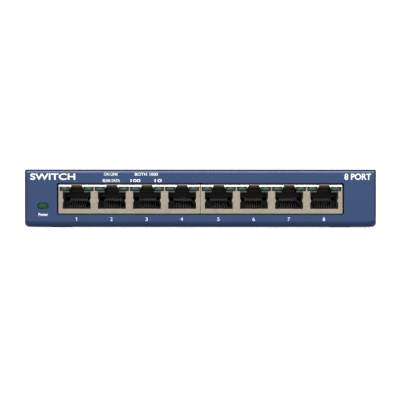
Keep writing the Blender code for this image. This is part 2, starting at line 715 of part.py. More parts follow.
def block_section(inset, low):
    """A jack block from its side, inset all round but at the bottom, with the bend at its top front edge."""
    front = BLOCK_FRONT + inset
    rear = BLOCK_REAR - inset
    high = BLOCK_HIGH - inset
    path = [(front, low), (rear, low), (rear, high), (front, high)]
    return rounded(path, [0, 0, 0, SHIELD_BEND - inset], 4, closed=True)


def block_span(side, inset):
    """A jack block's left and right ends, inset by so much."""
    middle = side * (BLOCK_SPLIT + BLOCK_WIDTH) / 2
    return middle - BLOCK_WIDTH / 2 + inset, middle + BLOCK_WIDTH / 2 - inset


def make_shield(name, side):
    wall = SHIELD_SHEET
    shield = piece(name, "tinned_steel", prism(block_section(0, BLOCK_LOW), *block_span(side, 0), "X"))
    cut(shield, "inside", prism(block_section(wall, 0), *block_span(side, wall), "X"))
    behind = BLOCK_FRONT + SHIELD_BEND + GAP
    openings = [prism(shield_opening(x), BLOCK_FRONT - wall, behind, "Y") for x in port_centres(side)]
    cut(shield, "port_openings", gathered(openings))


def wire_slots(x):
    """The comb of slots that a port's contacts rise and fall in."""
    front = HINGE_Y - SLOT_FRONT_ROOM
    rear = HOUSING_FRONT + CAVITY_DEPTH + SLOT_REAR_ROOM
    step_y = HOUSING_FRONT + CAVITY_DEPTH - OVERCUT
    above_floor = CAVITY_LOW + OVERCUT
    outline = [(front, CONTACT_SLOT_LOW), (rear, CONTACT_SLOT_LOW), (rear, CONTACT_SLOT_HIGH),
               (step_y, CONTACT_SLOT_HIGH), (step_y, above_floor), (front, above_floor)]
    slots = []
    for n in range(CONTACTS):
        middle = x + (n - (CONTACTS - 1) / 2) * CONTACT_PITCH
        slots.append(prism(outline, middle - CONTACT_SLOT / 2, middle + CONTACT_SLOT / 2, "X"))
    return slots


def plug_cavity(x):
    """The space for a plug, with a sloping ledge over the comb at its back."""
    front = HOUSING_FRONT - GAP
    back = HOUSING_FRONT + CAVITY_DEPTH
    outline = [(front, CAVITY_LOW), (back, CAVITY_LOW), (back, LEDGE_LOW), (back + LEDGE_DEPTH, LEDGE_HIGH),
               (back + LEDGE_DEPTH, CAVITY_HIGH), (front, CAVITY_HIGH)]
    return prism(outline, x - CAVITY_HALF, x + CAVITY_HALF, "X")


def light_channels(x):
    """The two channels that a port's lights lie in, open at the front and towards the latch notch."""
    inner = NOTCH_HALF - GAP
    outer = LED_OFFSET + LED_SIZE[0] / 2 + LED_CLEARANCE
    rear = BLOCK_FRONT + LED_SETBACK + LED_SIZE[1] + JACK_GAP
    low = LED_LOW - JACK_GAP
    high = LED_LOW + LED_SIZE[2] + JACK_GAP
    channels = []
    for hand in (1, -1):
        near, far = sorted((x + hand * inner, x + hand * outer))
        channels.append(box((near, HOUSING_FRONT - GAP, low), (far, rear, high)))
    return channels


def make_housing(name, side):
    inset = SHIELD_SHEET + JACK_GAP
    housing = piece(name, "black_nylon", prism(block_section(inset, STAND), *block_span(side, inset), "X"))
    before = HOUSING_FRONT - GAP
    notch_rear = HOUSING_FRONT + NOTCH_DEPTH
    crossing_half = CONTACTS * CONTACT_PITCH / 2 + OVERCUT
    cavities = []
    notches = []
    channels = []
    slots = []
    crossings = []
    for x in port_centres(side):
        cavities.append(plug_cavity(x))
        notches.append(box((x - NOTCH_HALF, before, CAVITY_HIGH - GAP), (x + NOTCH_HALF, notch_rear, HEIGHT)))
        channels += light_channels(x)
        slots += wire_slots(x)
        crossings.append(box((x - crossing_half, HINGE_Y - SLOT_FRONT_ROOM, CONTACT_SLOT_LOW),
                             (x + crossing_half, HINGE_Y + SLOT_FRONT_ROOM, CAVITY_LOW + OVERCUT)))
    for label, shapes in (("cavities", cavities), ("notches", notches), ("light_channels", channels),
                          ("wire_slots", slots), ("carrier_slots", crossings)):
        cut(housing, label, gathered(shapes))


def make_contacts(number, x):
    """Eight sprung wires on their carrier. The origin is on the line that they flex about."""
    half_sheet = CONTACT_SHEET / 2
    root = HINGE_HEIGHT
    bar_y, bar_z = CARRIER_HALF
    flat_end = HINGE_Y + 3 * bar_y
    tip_end = HINGE_Y + CONTACT_LENGTH
    line = [(HINGE_Y - half_sheet, root), (flat_end, root),
            (tip_end - CONTACT_TIP, CONTACT_TIP_HEIGHT - half_sheet),
            (tip_end, CONTACT_TIP_HEIGHT - CONTACT_TIP_DROP)]
    top = [(y, z + half_sheet) for y, z in line]
    bottom = [(y, z - half_sheet) for y, z in line]
    half = (CONTACTS - 1) / 2 * CONTACT_PITCH + CONTACT_WIDTH / 2
    bar = box((x - half, HINGE_Y - bar_y, root - bar_z), (x + half, HINGE_Y + bar_y, root + bar_z))
    contacts = piece(f"port_contacts_{number}", "gold_contact", bar, (x, HINGE_Y, HINGE_HEIGHT))
    wires = []
    for n in range(CONTACTS):
        middle = x + (n - (CONTACTS - 1) / 2) * CONTACT_PITCH
        wires.append(prism(bottom + top[::-1], middle - CONTACT_WIDTH / 2, middle + CONTACT_WIDTH / 2, "X"))
    join(contacts, "wires", gathered(wires))


def make_port_lights(number, x):
    for hand, name in ((-1, "left"), (1, "right")):
        centre = x + hand * LED_OFFSET
        middle = (centre, BLOCK_FRONT + LED_SETBACK + LED_SIZE[1] / 2)
        light = standing_box(middle, LED_SIZE, LED_LOW)
        piece(f"port_led_{number}_{name}", "green_lens", light, (*middle, LED_LOW))


def make_jacks():
    number = 1
    for name, side in (("left", -1), ("right", 1)):
        make_shield(f"jack_shield_{name}", side)
        make_housing(f"jack_housing_{name}", side)
        for x in port_centres(side):
            make_contacts(number, x)
            make_port_lights(number, x)
            number += 1


# Power inlet

def make_power_inlet():
    jack = standing_box((DC_JACK_X, REAR - DC_JACK_SIZE[1] / 2), DC_JACK_SIZE, STAND)
    housing = piece("dc_jack_housing", "black_nylon", jack)
    bore_end = REAR - DC_BORE_DEPTH
    bore = [(0, bore_end), (DC_BORE_RADIUS, bore_end), (DC_BORE_RADIUS, REAR + GAP), (0, REAR + GAP)]
    cut(housing, "bore", turned(bore, (DC_JACK_X, 0, DC_BORE_HEIGHT), "Y", 24))
    pin_root = bore_end - DC_PIN_ROOT
    pocket = DC_PIN_RADIUS + GAP
    socket = [(0, pin_root - GAP), (pocket, pin_root - GAP), (pocket, bore_end + GAP), (0, bore_end + GAP)]
    cut(housing, "pin_socket", turned(socket, (DC_JACK_X, 0, DC_BORE_HEIGHT), "Y", 16))
    slot_half = DC_LEAF_WIDTH / 2 + GAP
    root_y, root_z = DC_LEAF_ROOT
    tip_y, tip_z = DC_LEAF_TIP
    room = DC_LEAF_ROOM
    slot_high = DC_BORE_HEIGHT - DC_BORE_RADIUS / 2
    cut(housing, "leaf_slot", box((DC_JACK_X - slot_half, root_y - room, root_z - room),
                                  (DC_JACK_X + slot_half, tip_y + room, slot_high)))
    tip = REAR - DC_PIN_SETBACK
    taper = DC_PIN_RADIUS / 2
    pin = [(0, pin_root), (DC_PIN_RADIUS, pin_root), (DC_PIN_RADIUS, tip - taper),
           (DC_PIN_RADIUS - taper, tip), (0, tip)]
    piece("dc_jack_centre_pin", "zinc_steel", turned(pin, (DC_JACK_X, 0, DC_BORE_HEIGHT), "Y", 16),
          (DC_JACK_X, pin_root, DC_BORE_HEIGHT))
    half_sheet = DC_LEAF_SHEET / 2
    flat = 2 * DC_LEAF_SHEET
    bend_y = tip_y - DC_LEAF_TIP_LENGTH
    line = [(root_y - DC_LEAF_SHEET, root_z), (root_y + flat, root_z), (bend_y, tip_z), (tip_y, tip_z - flat)]
    outline = [(y, z - half_sheet) for y, z in line] + [(y, z + half_sheet) for y, z in line[::-1]]
    leaf = prism(outline, DC_JACK_X - DC_LEAF_WIDTH / 2, DC_JACK_X + DC_LEAF_WIDTH / 2, "X")
    piece("dc_jack_spring", "gold_contact", leaf, (DC_JACK_X, root_y, root_z))


make_tray()
make_cover()
make_cover_screws()
make_feet()
make_board()
make_chip_and_sink()
make_transformers()
make_power_parts()
make_power_light()
make_jacks()
make_power_inlet()
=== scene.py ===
"""Looks of an eight-port desktop network switch: finishes, small parts, lettering and studio."""
import json
import math

import bmesh
import bpy
from mathutils import Matrix, Vector


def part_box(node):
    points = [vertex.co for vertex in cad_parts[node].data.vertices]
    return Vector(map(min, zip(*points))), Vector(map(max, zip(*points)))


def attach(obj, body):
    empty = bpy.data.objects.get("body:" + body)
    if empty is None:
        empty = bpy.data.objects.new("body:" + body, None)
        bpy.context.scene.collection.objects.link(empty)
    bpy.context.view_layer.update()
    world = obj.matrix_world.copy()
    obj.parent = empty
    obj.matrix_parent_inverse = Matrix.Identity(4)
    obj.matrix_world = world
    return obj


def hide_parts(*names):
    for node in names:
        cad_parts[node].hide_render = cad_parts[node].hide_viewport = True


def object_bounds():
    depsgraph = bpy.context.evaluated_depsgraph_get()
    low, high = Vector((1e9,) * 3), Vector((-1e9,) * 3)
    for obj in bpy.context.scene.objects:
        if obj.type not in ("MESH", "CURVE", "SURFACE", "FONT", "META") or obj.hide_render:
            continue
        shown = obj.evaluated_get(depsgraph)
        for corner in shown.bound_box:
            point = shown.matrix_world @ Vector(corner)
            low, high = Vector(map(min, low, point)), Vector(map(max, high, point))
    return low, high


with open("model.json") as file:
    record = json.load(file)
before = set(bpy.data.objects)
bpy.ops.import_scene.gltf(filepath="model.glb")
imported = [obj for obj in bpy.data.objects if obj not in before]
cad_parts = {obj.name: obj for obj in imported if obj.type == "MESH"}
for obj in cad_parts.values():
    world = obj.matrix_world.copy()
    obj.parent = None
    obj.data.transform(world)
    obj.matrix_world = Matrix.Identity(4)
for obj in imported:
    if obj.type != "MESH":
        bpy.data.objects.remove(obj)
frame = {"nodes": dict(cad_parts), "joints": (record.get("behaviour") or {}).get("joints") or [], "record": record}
cad_low, cad_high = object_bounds()

MM = 0.001
WELD = 0.001 * MM
CASE = "case"
SLOT_OF = {part["node"]: part["material_slot"] for part in frame["record"]["subparts"]}


# Places, read from the CAD frame

TRAY_LOW, TRAY_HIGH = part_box("bottom_tray")
FRONT = TRAY_LOW.y
MIDDLE_Z = (cad_low.z + cad_high.z) / 2
SHIELD_LOW, SHIELD_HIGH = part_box("jack_shield_left")
HOUSING_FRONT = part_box("jack_housing_left")[0].y
PORT_LIGHT_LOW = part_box("port_led_1_left")[0].z

# The spring wires' hinges, by port number: each is in the middle of its port
HINGES = {
    int(joint["name"].split("_")[1]): Vector(joint["pos_m"])
    for joint in frame["joints"] if "contacts" in joint["name"]
}

# The light pipe's box also holds its leg, so its round end is placed from its top and its width
LIGHT_LOW, LIGHT_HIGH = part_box("power_light_pipe")
LIGHT_WIDTH = LIGHT_HIGH.x - LIGHT_LOW.x
LIGHT_DROP = 0.277
LIGHT_ASPECT = 0.553
LIGHT_MIDDLE = Vector((
    (LIGHT_LOW.x + LIGHT_HIGH.x) / 2,
    LIGHT_LOW.y,
    LIGHT_HIGH.z - LIGHT_WIDTH * LIGHT_DROP,
))


# Finish recipes

# The Mix node's sockets when it mixes colours
MIX_SHARE, MIX_FIRST, MIX_SECOND, MIX_RESULT = 0, 6, 7, 2


class Finish:
    """A material and the node recipes that the finishes share, with lengths in metres."""

    def __init__(self, name):
        self.material = bpy.data.materials.new(name)
        self.material.use_nodes = True
        self.tree = self.material.node_tree
        self.shader = self.tree.nodes["Principled BSDF"]
        self.place = self.node("ShaderNodeTexCoord").outputs["Object"]

    def node(self, kind, inputs=None, **settings):
        """A new node, with each input set to a value or linked to a socket."""
        made = self.tree.nodes.new(kind)
        for key, value in settings.items():
            setattr(made, key, value)
        for key, value in (inputs or {}).items():
            if isinstance(value, bpy.types.NodeSocket):
                self.tree.links.new(value, made.inputs[key])
            else:
                made.inputs[key].default_value = value
        return made

    def set(self, **values):
        """Sets the shader's own inputs, such as Coat_Weight=0.3."""
        for key, value in values.items():
            self.shader.inputs[key.replace("_", " ")].default_value = value
        return self

    def feed(self, key, socket):
        """Links a socket to one of the shader's inputs."""
        self.tree.links.new(socket, self.shader.inputs[key])

    def noise(self, size, detail, rough=0.5):
        """Noise whose features are about size across, or of the given size along each axis."""
        inputs = {"Vector": self.place, "Detail": detail, "Roughness": rough}
        if isinstance(size, tuple):
            scale = tuple(1 / length for length in size)
            stretched = self.node("ShaderNodeMapping", {"Vector": self.place, "Scale": scale})
            inputs.update({"Vector": stretched.outputs["Vector"], "Scale": 1.0})
        else:
            inputs["Scale"] = 1 / size
        return self.node("ShaderNodeTexNoise", inputs).outputs["Fac"]

    def band(self, value, low, high, out_low=0.0, out_high=1.0):
        """A value from low to high, spread over out_low to out_high and held there beyond it."""
        inputs = {
            "Value": value,
            "From Min": low,
            "From Max": high,
            "To Min": out_low,
            "To Max": out_high,
        }
        return self.node("ShaderNodeMapRange", inputs).outputs["Result"]

    def added(self, first, second):
        return self.node("ShaderNodeMath", {0: first, 1: second}, operation="ADD").outputs[0]

    def along(self, axis):
        """A coordinate of the frame, in metres."""
        return self.node("ShaderNodeSeparateXYZ", {"Vector": self.place}).outputs[axis]

    def blend(self, share, first, second):
        """Colour first where share is 0, second where it is 1."""
        inputs = {MIX_SHARE: share}
        for index, value in ((MIX_FIRST, first), (MIX_SECOND, second)):
            is_socket = isinstance(value, bpy.types.NodeSocket)
            inputs[index] = value if is_socket else (*value, 1.0)
        return self.node("ShaderNodeMix", inputs, data_type="RGBA").outputs[MIX_RESULT]

    def bump(self, height, depth, strength, under=None):
        inputs = {"Height": height, "Distance": depth, "Strength": strength}
        if under:
            inputs["Normal"] = under
        return self.node("ShaderNodeBump", inputs).outputs["Normal"]


def powder_coat(name, deep, pale, fleck, shine=0.45):
    """Satin powder paint: orange peel, fine pigment fleck and slow patches of gloss."""
    paint = Finish(name).set(Specular_IOR_Level=shine)
    slow = paint.noise(30 * MM, 3.0)
    speckle = paint.noise(0.22 * MM, 2.0)
    base = paint.blend(paint.band(slow, 0.35, 0.65), deep, pale)
    flecked = paint.blend(paint.band(speckle, 0.5, 0.85, 0.0, 0.6), base, fleck)
    paint.feed("Base Color", flecked)
    gloss = paint.noise(7 * MM, 4.0)
    paint.feed("Roughness", paint.band(gloss, 0.3, 0.7, 0.38, 0.48))
    peel = paint.bump(paint.noise(0.8 * MM, 1.5), 0.012 * MM, 0.5)
    paint.feed("Normal", paint.bump(speckle, 0.004 * MM, 0.5, peel))
    return paint.material


def tinned_steel(name, dull, bright, stain):
    """Tin plate: rolling lines along the block, spangle, and dull handling marks."""
    tin = Finish(name).set(Metallic=0.85)
    spangle = tin.noise(1.3 * MM, 4.0, 0.6)
    rolling = tin.noise((20 * MM, 20 * MM, 0.07 * MM), 3.0)
    tone = tin.blend(tin.band(spangle, 0.3, 0.7), dull, bright)
    tin.feed("Base Color", tin.blend(tin.band(rolling, 0.4, 0.75, 0.0, 0.6), tone, stain))
    mark = tin.noise(4 * MM, 5.0, 0.65)
    tin.feed("Roughness", tin.band(mark, 0.35, 0.65, 0.36, 0.5))
    lines = tin.bump(rolling, 0.003 * MM, 0.5)
    tin.feed("Normal", tin.bump(spangle, 0.006 * MM, 0.4, lines))
    return tin.material


def moulded(name, dark, pale, rough, grain, shine=0.25):
    """A dark moulding with a spark-eroded grain and faint flow marks."""
    plastic = Finish(name).set(Specular_IOR_Level=shine)
    grit = plastic.noise(grain, 3.0, 0.6)
    flow = plastic.noise((6 * MM, 2 * MM, 1.2 * MM), 2.0)
    plastic.feed("Base Color", plastic.blend(plastic.band(flow, 0.35, 0.75), dark, pale))
    plastic.feed("Roughness", plastic.band(grit, 0.3, 0.7, *rough))
    plastic.feed("Normal", plastic.bump(grit, 0.015 * MM, 0.5))
    return plastic.material


def drawn_wire(name, gold_dull, gold_bright, nickel, gold_length):
    """Drawn wire: a gold flash at its front, where a plug touches it, and nickel behind."""
    metal = Finish(name).set(Metallic=0.75)
    draw = metal.noise((0.06 * MM, 3 * MM, 3 * MM), 3.0)
    patch = metal.noise(1.2 * MM, 3.0)
    gold = metal.blend(metal.band(patch, 0.3, 0.7), gold_dull, gold_bright)
    waver = metal.band(patch, 0.2, 0.8, -0.3 * MM, 0.3 * MM)
    gold_end = FRONT + gold_length
    share = metal.band(metal.added(metal.along("Y"), waver), gold_end, gold_end + 0.5 * MM)
    metal.feed("Base Color", metal.blend(share, gold, nickel))
    metal.feed("Roughness", metal.band(draw, 0.3, 0.7, 0.38, 0.52))
    metal.feed("Normal", metal.bump(draw, 0.003 * MM, 0.5))
    return metal.material


def lens(name, deep, pale, cloud_size, coat, shine=0.5, shade=None, shade_top=0.0):
    """A tinted diffusing lens, unlit, with a cloudy core, and faded below shade_top to the colour shade, which is
    painted shade.
    """
    tint = Finish(name).set(Coat_Weight=coat, Coat_Roughness=0.16, Specular_IOR_Level=shine)
    cloud = tint.noise(cloud_size, 3.0, 0.55)
    body = tint.blend(tint.band(cloud, 0.35, 0.7), deep, pale)
    # Painted shade: below shade_top the colour fades to shade.
    if shade:
        height = tint.band(tint.along("Z"), shade_top - 0.6 * MM, shade_top)
        body = tint.blend(height, shade, body)
    tint.feed("Base Color", body)
    tint.feed("Roughness", tint.band(cloud, 0.3, 0.7, 0.22, 0.36))
    tint.feed("Normal", tint.bump(tint.noise(0.3 * MM, 2.0), 0.006 * MM, 0.3))
    return tint.material


def soft_rubber(name, black, dust):
    """Matt rubber with a coarse grain and dust in patches."""
    rubber = Finish(name)
    grit = rubber.noise(0.25 * MM, 4.0, 0.7)
    dusty = rubber.band(rubber.noise(2.5 * MM, 5.0, 0.6), 0.5, 0.8)
    rubber.feed("Base Color", rubber.blend(dusty, black, dust))
    rubber.feed("Roughness", rubber.band(grit, 0.3, 0.7, 0.7, 0.92))
    rubber.feed("Normal", rubber.bump(grit, 0.05 * MM, 0.6))
    return rubber.material


def solder_mask(name, deep, pale, track):
    """Solder mask over copper: straight tracks show as a raised, paler pattern."""
    board = Finish(name).set(Coat_Weight=0.3, Coat_Roughness=0.2)
    inputs = {"Vector": board.place, "Scale": 180.0, "Mortar Size": 0.012, "Mortar Smooth": 0.1}
    tracks = board.node("ShaderNodeTexBrick", inputs, offset=0.35, squash=1.4).outputs["Fac"]
    weave = board.noise(0.6 * MM, 3.0)
    mask = board.blend(board.band(weave, 0.3, 0.7), deep, pale)
    board.feed("Base Color", board.blend(tracks, mask, track))
    board.feed("Roughness", board.band(weave, 0.3, 0.7, 0.3, 0.45))
    board.feed("Normal", board.bump(tracks, 0.03 * MM, 0.6))
    return board.material


def bare_metal(name, dark, pale, rough, grain):
    """A bare or plated metal with a directional grain and blotches."""
    made = Finish(name).set(Metallic=1.0)
    blotch = made.noise(3 * MM, 4.0, 0.6)
    scratch = made.noise(grain, 3.0)
    made.feed("Base Color", made.blend(made.band(blotch, 0.3, 0.7), dark, pale))
    made.feed("Roughness", made.band(scratch, 0.3, 0.7, *rough))
    made.feed("Normal", made.bump(scratch, 0.006 * MM, 0.5))
    return made.material


def printed_ink(name, thin, thick):
    """Screen ink, slightly uneven, with pinholes."""
    ink = Finish(name)
    speck = ink.noise(0.15 * MM, 3.0, 0.7)
    ink.feed("Base Color", ink.blend(ink.band(speck, 0.3, 0.6), thin, thick))
    ink.feed("Roughness", ink.band(speck, 0.3, 0.7, 0.45, 0.6))
    ink.feed("Normal", ink.bump(speck, 0.004 * MM, 0.4))
    return ink.material


# Finishes, each with its darker colour, its paler one and any third that its recipe names

FINISHES = {
    "powder_coat": powder_coat(
        "powder_coat", (0.0112, 0.0352, 0.106), (0.0132, 0.0390, 0.114), (0.023, 0.053, 0.136)),
    "tinned_shield": tinned_steel(
        "tinned_shield", (0.375, 0.322, 0.25), (0.455, 0.40, 0.318), (0.31, 0.262, 0.195)),
    "jack_plastic": moulded(
        "jack_plastic", (0.003, 0.003, 0.003), (0.006, 0.0058, 0.0055),
        rough=(0.5, 0.65), grain=0.12 * MM, shine=0.05),
    # The wire colours are dimmed well below bare gold and nickel: painted shade for the wires deep inside the
    # ports.
    "contact_gold": drawn_wire(
        "contact_gold", (0.22, 0.20, 0.16), (0.30, 0.275, 0.23), (0.30, 0.29, 0.275),
        gold_length=11.2 * MM),
    # The port light guides darken to a deep green towards their bottoms: painted shade.
    "port_led_lens": lens(
        "port_led_lens", (0.017, 0.046, 0.030), (0.029, 0.069, 0.047),
        cloud_size=1.4 * MM, coat=0.32,
        shade=(0.003, 0.013, 0.008), shade_top=PORT_LIGHT_LOW + 0.8 * MM),
    "power_light_lens": lens(
        "power_light_lens", (0.0025, 0.046, 0.017), (0.0055, 0.070, 0.027),
        cloud_size=2.0 * MM, coat=0.35, shine=0.15),
    "foot_rubber": soft_rubber("foot_rubber", (0.018, 0.018, 0.019), (0.06, 0.058, 0.055)),
    "circuit_board": solder_mask(
        "circuit_board", (0.012, 0.075, 0.032), (0.018, 0.1, 0.045), (0.05, 0.2, 0.09)),
    "fastener_steel": bare_metal(
        "fastener_steel", (0.42, 0.43, 0.45), (0.62, 0.63, 0.66),
        rough=(0.25, 0.4), grain=0.3 * MM),
    "bare_aluminium": bare_metal(
        "bare_aluminium", (0.58, 0.59, 0.60), (0.74, 0.75, 0.76),
        rough=(0.3, 0.48), grain=(0.2 * MM, 6 * MM, 6 * MM)),
    "component_black": moulded(
        "component_black", (0.012, 0.012, 0.013), (0.02, 0.02, 0.02),
        rough=(0.5, 0.7), grain=0.2 * MM),
}
# Darker paint on the lid's cut edges: painted shade along the lid's front edge.
LID_EDGE_SHADE_PAINT = powder_coat(
    "lid_edge_shade_paint", (0.008, 0.017, 0.05), (0.010, 0.020, 0.056), (0.016, 0.03, 0.07))
# A shinier, slightly paler copy of the paint for the tray's top front bend: painted highlight.
BEND_HIGHLIGHT_PAINT = powder_coat(
    "bend_highlight_paint", (0.0115, 0.037, 0.114), (0.0135, 0.040, 0.122), (0.023, 0.054, 0.14), shine=0.7)
# Darker paint on the tray's cut edges and the corner tabs: painted shade along the seams and in the corner slots.
EDGE_SHADE_PAINT = powder_coat(
    "edge_shade_paint", (0.013, 0.026, 0.070), (0.016, 0.030, 0.078), (0.026, 0.045, 0.10))
# The clear lip darkens towards its bottom: painted shade.
CLEAR_LIP = lens(
    "light_guide_lip", (0.062, 0.088, 0.078), (0.095, 0.128, 0.112),
    cloud_size=1.0 * MM, coat=0.25,
    shade=(0.06, 0.08, 0.07), shade_top=PORT_LIGHT_LOW - 0.15 * MM)
# A pale grey plastic for the combs: painted light falling into the ports.
COMB_LIGHT_PLASTIC = moulded(
    "comb_painted_light", (0.125, 0.122, 0.118), (0.17, 0.165, 0.158),
    rough=(0.34, 0.46), grain=0.1 * MM, shine=0.5)
# A paler copy of the black moulding for the insides of the ports: painted light.
CAVITY_LIGHT_PLASTIC = moulded(
    "cavity_painted_light", (0.040, 0.036, 0.034), (0.056, 0.050, 0.047),
    rough=(0.5, 0.65), grain=0.12 * MM, shine=0.3)
GASKET_CLOTH = moulded(
    "gasket_cloth", (0.045, 0.05, 0.06), (0.07, 0.075, 0.09),
    rough=(0.6, 0.8), grain=0.3 * MM, shine=0.3)
# A darker copy of the shield's tin for the strap across each latch notch: painted shade.
SHADE_DARKENED_TIN = tinned_steel(
    "shade_darkened_tin", (0.17, 0.165, 0.13), (0.23, 0.225, 0.175), (0.14, 0.135, 0.10))
# A still darker tin for the stop behind each strap: painted shade.
SHADED_TIN = tinned_steel(
    "shaded_tin", (0.055, 0.050, 0.036), (0.085, 0.078, 0.056), (0.04, 0.036, 0.026))
# A much paler tin for the latch dimples: painted light on pips that sit in shade.
LIT_PAINTED_TIN = bare_metal(
    "lit_painted_tin", (0.72, 0.66, 0.56), (0.84, 0.79, 0.70), rough=(0.28, 0.4), grain=0.2 * MM)
# A paler, whiter tin for the shield's rolled brows: painted highlight.
HIGHLIGHT_TIN = bare_metal(
    "highlight_painted_tin", (0.42, 0.44, 0.42), (0.52, 0.54, 0.52), rough=(0.22, 0.34), grain=0.3 * MM)
WHITE_INK = printed_ink("white_ink", (0.70, 0.74, 0.80), (0.88, 0.90, 0.93))


def paint_cad_nodes():
    """Every CAD node takes the finish of its slot in the record."""
    for node, slot in SLOT_OF.items():
        shown = frame["nodes"][node]
        if not shown.material_slots:
            shown.data.materials.append(None)
        for material_slot in shown.material_slots:
            material_slot.material = FINISHES[slot]


# Mesh helpers

# Angles are in degrees
SMOOTH_ANGLE = 40
EDGE_ANGLE = 32
FLATNESS = 0.5
BEVEL_SEGMENTS = 2
FACE_WEIGHT = 90
ARC_STEPS = 10


def place_object(name, data):
    """A new object in the scene."""
    made = bpy.data.objects.new(name, data)
    bpy.context.scene.collection.objects.link(made)
    return made


def add_piece(name, shape, finish, body=CASE, smooth=SMOOTH_ANGLE):
    """A new piece from a bmesh in the frame's coordinates, riding on a body."""
    mesh = bpy.data.meshes.new(name)
    shape.to_mesh(mesh)
    shape.free()
    mesh.shade_smooth()
    mesh.set_sharp_from_angle(angle=math.radians(smooth))
    mesh.materials.append(finish)
    made = place_object(name, mesh)
    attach(made, body)
    return made


def mesh_of(source):
    """An object's mesh with its modifiers or its font's outlines worked out."""
    bpy.context.view_layer.update()
    depsgraph = bpy.context.evaluated_depsgraph_get()
    return bpy.data.meshes.new_from_object(source.evaluated_get(depsgraph))


def apply_modifiers(made):
    """The object keeps its name and place, and its modifiers become its mesh."""
    final = mesh_of(made)
    old = made.data
    made.modifiers.clear()
    made.data = final
    bpy.data.meshes.remove(old)


def add_bevel(made, width, angle):
    """Breaks the edges that are sharper than angle."""
    bevel = made.modifiers.new("edge", "BEVEL")
    bevel.width = width
    bevel.segments = BEVEL_SEGMENTS
    bevel.limit_method = "ANGLE"
    bevel.angle_limit = math.radians(angle)


def cleaned(node):
    """A CAD node's shape, welded and with its flat faces whole."""
    shape = bmesh.new()
    shape.from_mesh(frame["nodes"][node].data)
    bmesh.ops.remove_doubles(shape, verts=shape.verts, dist=WELD)
    bmesh.ops.dissolve_limit(shape, angle_limit=math.radians(FLATNESS), verts=shape.verts,
                             edges=shape.edges, use_dissolve_boundaries=False)
    return shape


def refined(node, width, others=(), pick=None):
    """A CAD node with its sharp edges broken by a small bevel, shown in the node's place.

    pick says which finish a face takes, from its normal and its centre: 0 for the node's own, or
    a place in others counted from 1.
    """
    shape = cleaned(node)
    if pick:
        for face in shape.faces:
            face.material_index = pick(face.normal, face.calc_center_median())
    slot = SLOT_OF[node]
    made = add_piece(node + "_finished", shape, FINISHES[slot], smooth=EDGE_ANGLE)
    for finish in others:
        made.data.materials.append(finish)
    add_bevel(made, width, EDGE_ANGLE)
    flats = made.modifiers.new("flats", "WEIGHTED_NORMAL")
    flats.weight = FACE_WEIGHT
    flats.keep_sharp = True
    apply_modifiers(made)
    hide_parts(node)


def merged(shapes):
    """Several bmeshes as one."""
    whole = bmesh.new()
    mesh = bpy.data.meshes.new("merged")
    for shape in shapes:
        shape.to_mesh(mesh)
        shape.free()
        whole.from_mesh(mesh)
    bpy.data.meshes.remove(mesh)
    return whole


def box_shape(centre, size, chamfer):
    """A box with broken edges."""
    shape = bmesh.new()
    bmesh.ops.create_cube(shape, size=1.0)
    placed = Matrix.Translation(centre) @ Matrix.Diagonal((*size, 1))
    bmesh.ops.transform(shape, matrix=placed, verts=shape.verts)
    bmesh.ops.bevel(shape, geom=shape.edges[:], offset=chamfer, segments=2, profile=0.5,
                    affect="EDGES")
    return shape


def lofted(rings):
    """Rings of points joined in order, with closed ends."""
    shape = bmesh.new()
    rows = [[shape.verts.new(point) for point in ring] for ring in rings]
    count = len(rows[0])
    for first, second in zip(rows, rows[1:]):
        for n in range(count):
            m = (n + 1) % count
            shape.faces.new((first[n], first[m], second[m], second[n]))
    shape.faces.new(rows[0])
    shape.faces.new(rows[-1])
    bmesh.ops.recalc_face_normals(shape, faces=shape.faces)
    return shape


def extruded(profile, ends):
    """A closed profile of (y, z) points, drawn out between two places along X."""
    return lofted([[(x, y, z) for y, z in profile] for x in ends])


def angles(start, end, steps=ARC_STEPS):
    """Angles in radians, in equal steps, from start to end in degrees."""
    return [math.radians(start + (end - start) * step / steps) for step in range(steps + 1)]


def rounded_path(points, radius):
    """A path of (y, z) points whose inner corners are rounded."""
    steps = 4
    path = [Vector(points[0])]
    for before, corner, after in zip(points, points[1:], points[2:]):
        corner = Vector(corner)
        coming = (corner - Vector(before)).normalized()
        going = (Vector(after) - corner).normalized()
        reach = radius * math.tan(abs(coming.angle(going)) / 2)
        start = corner - coming * reach
        end = corner + going * reach
        for step in range(steps + 1):
            t = step / steps
            path.append(start * (1 - t) ** 2 + corner * (2 * t * (1 - t)) + end * t ** 2)
    path.append(Vector(points[-1]))
    return path


def wire(path, half_width, half_sheet, x):
    """A flat wire with rounded edges along a path of (y, z) points, in the plane at x."""
    chamfer = half_sheet / 2
    section = []
    for n, (side, up) in enumerate([(-1, -1), (1, -1), (1, 1), (-1, 1)]):
        flat = (side * (half_width - chamfer), up * half_sheet)
        upright = (side * half_width, up * (half_sheet - chamfer))
        section += [upright, flat] if n % 2 == 0 else [flat, upright]
    rings = []
    for n, point in enumerate(path):
        along = (path[min(n + 1, len(path) - 1)] - path[max(n - 1, 0)]).normalized()
        normal = Vector((-along.y, along.x))
        rings.append([(x + across, *(point + normal * up)) for across, up in section])
    return lofted(rings)


# Spring contacts

WIRES = 8
WIRE_PITCH = 1.02 * MM
WIRE_HALF = (0.18 * MM, 0.125 * MM)
WIRE_BEND = 0.9 * MM
ROOT_LENGTH = 1.2 * MM
TIP_LENGTH = 0.9 * MM
TIP_DROP = 0.1 * MM

CARRIER_SIZE = (0.8 * MM, 0.5 * MM)
CARRIER_MARGIN = 0.08 * MM
CARRIER_CHAMFER = 0.1 * MM

COMB_HALF = 4.1 * MM
COMB_NOSE = (1.45 * MM, 1.35 * MM)
COMB_SETBACK = 0.5 * MM
COMB_LIFT = 0.42 * MM

TOOTH = (0.5 * MM, 0.3 * MM, 0.5 * MM)
TOOTH_SUNK = (0.04 * MM, 0.06 * MM)
TOOTH_CHAMFER = 0.06 * MM


